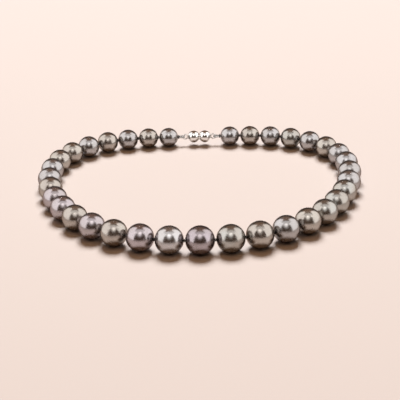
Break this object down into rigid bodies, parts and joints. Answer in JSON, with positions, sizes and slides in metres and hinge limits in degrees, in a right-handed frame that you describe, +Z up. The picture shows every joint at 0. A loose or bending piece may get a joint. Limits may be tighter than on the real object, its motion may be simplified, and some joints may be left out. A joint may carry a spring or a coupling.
{
  "type": "pearl necklace",
  "caption": "Graduated strand of round dark pearls knotted on silk cord, closed at the back by a two-ball magnetic clasp.",
  "frame": {"origin": "on the surface the necklace lies on, under the middle of the oval", "axes": "+X to the right seen from the front, +Y to the back, where the clasp is, +Z up"},
  "size_m": [0.1662, 0.1484, 0.0145],
  "materials": {
    "pearl": "polished dark nacre",
    "silk": "twisted silk",
    "french_wire": "bright coiled wire",
    "clasp_metal": "polished white metal",
    "magnet": "nickel plated"
  },
  "bodies": {
    "pearl_18": {"pearl_18": "pearl", "silk_cord": "silk"},
    "pearl_17": {"pearl_17": "pearl"},
    "pearl_16": {"pearl_16": "pearl"},
    "pearl_15": {"pearl_15": "pearl"},
    "pearl_14": {"pearl_14": "pearl"},
    "pearl_13": {"pearl_13": "pearl"},
    "pearl_12": {"pearl_12": "pearl"},
    "pearl_11": {"pearl_11": "pearl"},
    "pearl_10": {"pearl_10": "pearl"},
    "pearl_09": {"pearl_09": "pearl"},
    "pearl_08": {"pearl_08": "pearl"},
    "pearl_07": {"pearl_07": "pearl"},
    "pearl_06": {"pearl_06": "pearl"},
    "pearl_05": {"pearl_05": "pearl"},
    "pearl_04": {"pearl_04": "pearl"},
    "pearl_03": {"pearl_03": "pearl"},
    "pearl_02": {"pearl_02": "pearl"},
    "pearl_01": {"pearl_01": "pearl", "french_wire_left": "french_wire"},
    "pearl_19": {"pearl_19": "pearl"},
    "pearl_20": {"pearl_20": "pearl"},
    "pearl_21": {"pearl_21": "pearl"},
    "pearl_22": {"pearl_22": "pearl"},
    "pearl_23": {"pearl_23": "pearl"},
    "pearl_24": {"pearl_24": "pearl"},
    "pearl_25": {"pearl_25": "pearl"},
    "pearl_26": {"pearl_26": "pearl"},
    "pearl_27": {"pearl_27": "pearl"},
    "pearl_28": {"pearl_28": "pearl"},
    "pearl_29": {"pearl_29": "pearl"},
    "pearl_30": {"pearl_30": "pearl"},
    "pearl_31": {"pearl_31": "pearl"},
    "pearl_32": {"pearl_32": "pearl"},
    "pearl_33": {"pearl_33": "pearl"},
    "pearl_34": {"pearl_34": "pearl"},
    "pearl_35": {"pearl_35": "pearl", "french_wire_right": "french_wire"},
    "clasp_left": {"clasp_ball_left": "clasp_metal", "clasp_magnet_left": "magnet", "end_ring_left": "clasp_metal"},
    "clasp_right": {"clasp_ball_right": "clasp_metal", "clasp_magnet_right": "magnet", "end_ring_right": "clasp_metal"}
  },
  "joints": [
    {"name": "knot_17_18", "type": "hinge", "parent": "pearl_18", "child": "pearl_17", "pos_m": [-0.00758, -0.06693, 0.00718], "axis": [0, 0, 1], "range_deg": [0, 9.6], "deforming": ["silk_cord"]},
    {"name": "knot_16_17", "type": "hinge", "parent": "pearl_17", "child": "pearl_16", "pos_m": [-0.02225, -0.06443, 0.00705], "axis": [0, 0, 1], "range_deg": [0, 10.7]},
    {"name": "knot_15_16", "type": "hinge", "parent": "pearl_16", "child": "pearl_15", "pos_m": [-0.03595, -0.05932, 0.00692], "axis": [0, 0, 1], "range_deg": [0, 12.1]},
    {"name": "knot_14_15", "type": "hinge", "parent": "pearl_15", "child": "pearl_14", "pos_m": [-0.04804, -0.05159, 0.00679], "axis": [0, 0, 1], "range_deg": [0, 12.5]},
    {"name": "knot_13_14", "type": "hinge", "parent": "pearl_14", "child": "pearl_13", "pos_m": [-0.05799, -0.04161, 0.00665], "axis": [0, 0, 1], "range_deg": [0, 11.4]},
    {"name": "knot_12_13", "type": "hinge", "parent": "pearl_13", "child": "pearl_12", "pos_m": [-0.06561, -0.03007, 0.00652], "axis": [0, 0, 1], "range_deg": [0, 9.5]},
    {"name": "knot_11_12", "type": "hinge", "parent": "pearl_12", "child": "pearl_11", "pos_m": [-0.07111, -0.01767, 0.00639], "axis": [0, 0, 1], "range_deg": [0, 7.6]},
    {"name": "knot_10_11", "type": "hinge", "parent": "pearl_11", "child": "pearl_10", "pos_m": [-0.07483, -0.00491, 0.00626], "axis": [0, 0, 1], "range_deg": [0, 7]},
    {"name": "knot_09_10", "type": "hinge", "parent": "pearl_10", "child": "pearl_09", "pos_m": [-0.07692, 0.00796, 0.00613], "axis": [0, 0, 1], "range_deg": [0, 8]},
    {"name": "knot_08_09", "type": "hinge", "parent": "pearl_09", "child": "pearl_08", "pos_m": [-0.07718, 0.02072, 0.00599], "axis": [0, 0, 1], "range_deg": [0, 10.4]},
    {"name": "knot_07_08", "type": "hinge", "parent": "pearl_08", "child": "pearl_07", "pos_m": [-0.07517, 0.03306, 0.00586], "axis": [0, 0, 1], "range_deg": [0, 13.1]},
    {"name": "knot_06_07", "type": "hinge", "parent": "pearl_07", "child": "pearl_06", "pos_m": [-0.07051, 0.04438, 0.00573], "axis": [0, 0, 1], "range_deg": [0, 15]},
    {"name": "knot_05_06", "type": "hinge", "parent": "pearl_06", "child": "pearl_05", "pos_m": [-0.06324, 0.05389, 0.0056], "axis": [0, 0, 1], "range_deg": [0, 15.3]},
    {"name": "knot_04_05", "type": "hinge", "parent": "pearl_05", "child": "pearl_04", "pos_m": [-0.05392, 0.06098, 0.00546], "axis": [0, 0, 1], "range_deg": [0, 13.8]},
    {"name": "knot_03_04", "type": "hinge", "parent": "pearl_04", "child": "pearl_03", "pos_m": [-0.04342, 0.06552, 0.00533], "axis": [0, 0, 1], "range_deg": [0, 10.7]},
    {"name": "knot_02_03", "type": "hinge", "parent": "pearl_03", "child": "pearl_02", "pos_m": [-0.03251, 0.06797, 0.0052], "axis": [0, 0, 1], "range_deg": [0, 7.1]},
    {"name": "knot_01_02", "type": "hinge", "parent": "pearl_02", "child": "pearl_01", "pos_m": [-0.02165, 0.06902, 0.00507], "axis": [0, 0, 1], "range_deg": [0, 3.7]},
    {"name": "end_ring_swing_left", "type": "hinge", "parent": "pearl_01", "child": "clasp_left", "pos_m": [-0.00873, 0.06941, 0.00491], "axis": [0, 0, 1], "range_deg": [-60, 60]},
    {"name": "knot_18_19", "type": "hinge", "parent": "pearl_18", "child": "pearl_19", "pos_m": [0.00758, -0.06693, 0.00718], "axis": [0, 0, -1], "range_deg": [0, 9.6]},
    {"name": "knot_19_20", "type": "hinge", "parent": "pearl_19", "child": "pearl_20", "pos_m": [0.02225, -0.06443, 0.00705], "axis": [0, 0, -1], "range_deg": [0, 10.7]},
    {"name": "knot_20_21", "type": "hinge", "parent": "pearl_20", "child": "pearl_21", "pos_m": [0.03595, -0.05932, 0.00692], "axis": [0, 0, -1], "range_deg": [0, 12.1]},
    {"name": "knot_21_22", "type": "hinge", "parent": "pearl_21", "child": "pearl_22", "pos_m": [0.04804, -0.05159, 0.00679], "axis": [0, 0, -1], "range_deg": [0, 12.5]},
    {"name": "knot_22_23", "type": "hinge", "parent": "pearl_22", "child": "pearl_23", "pos_m": [0.05799, -0.04161, 0.00665], "axis": [0, 0, -1], "range_deg": [0, 11.4]},
    {"name": "knot_23_24", "type": "hinge", "parent": "pearl_23", "child": "pearl_24", "pos_m": [0.06561, -0.03007, 0.00652], "axis": [0, 0, -1], "range_deg": [0, 9.5]},
    {"name": "knot_24_25", "type": "hinge", "parent": "pearl_24", "child": "pearl_25", "pos_m": [0.07111, -0.01767, 0.00639], "axis": [0, 0, -1], "range_deg": [0, 7.6]},
    {"name": "knot_25_26", "type": "hinge", "parent": "pearl_25", "child": "pearl_26", "pos_m": [0.07483, -0.00491, 0.00626], "axis": [0, 0, -1], "range_deg": [0, 7]},
    {"name": "knot_26_27", "type": "hinge", "parent": "pearl_26", "child": "pearl_27", "pos_m": [0.07692, 0.00796, 0.00613], "axis": [0, 0, -1], "range_deg": [0, 8]},
    {"name": "knot_27_28", "type": "hinge", "parent": "pearl_27", "child": "pearl_28", "pos_m": [0.07718, 0.02072, 0.00599], "axis": [0, 0, -1], "range_deg": [0, 10.4]},
    {"name": "knot_28_29", "type": "hinge", "parent": "pearl_28", "child": "pearl_29", "pos_m": [0.07517, 0.03306, 0.00586], "axis": [0, 0, -1], "range_deg": [0, 13.1]},
    {"name": "knot_29_30", "type": "hinge", "parent": "pearl_29", "child": "pearl_30", "pos_m": [0.07051, 0.04438, 0.00573], "axis": [0, 0, -1], "range_deg": [0, 15]},
    {"name": "knot_30_31", "type": "hinge", "parent": "pearl_30", "child": "pearl_31", "pos_m": [0.06324, 0.05389, 0.0056], "axis": [0, 0, -1], "range_deg": [0, 15.3]},
    {"name": "knot_31_32", "type": "hinge", "parent": "pearl_31", "child": "pearl_32", "pos_m": [0.05392, 0.06098, 0.00546], "axis": [0, 0, -1], "range_deg": [0, 13.8]},
    {"name": "knot_32_33", "type": "hinge", "parent": "pearl_32", "child": "pearl_33", "pos_m": [0.04342, 0.06552, 0.00533], "axis": [0, 0, -1], "range_deg": [0, 10.7]},
    {"name": "knot_33_34", "type": "hinge", "parent": "pearl_33", "child": "pearl_34", "pos_m": [0.03251, 0.06797, 0.0052], "axis": [0, 0, -1], "range_deg": [0, 7.1]},
    {"name": "knot_34_35", "type": "hinge", "parent": "pearl_34", "child": "pearl_35", "pos_m": [0.02165, 0.06902, 0.00507], "axis": [0, 0, -1], "range_deg": [0, 3.7]},
    {"name": "end_ring_swing_right", "type": "hinge", "parent": "pearl_35", "child": "clasp_right", "pos_m": [0.00873, 0.06941, 0.00491], "axis": [0, 0, -1], "range_deg": [-60, 60]}
  ]
}
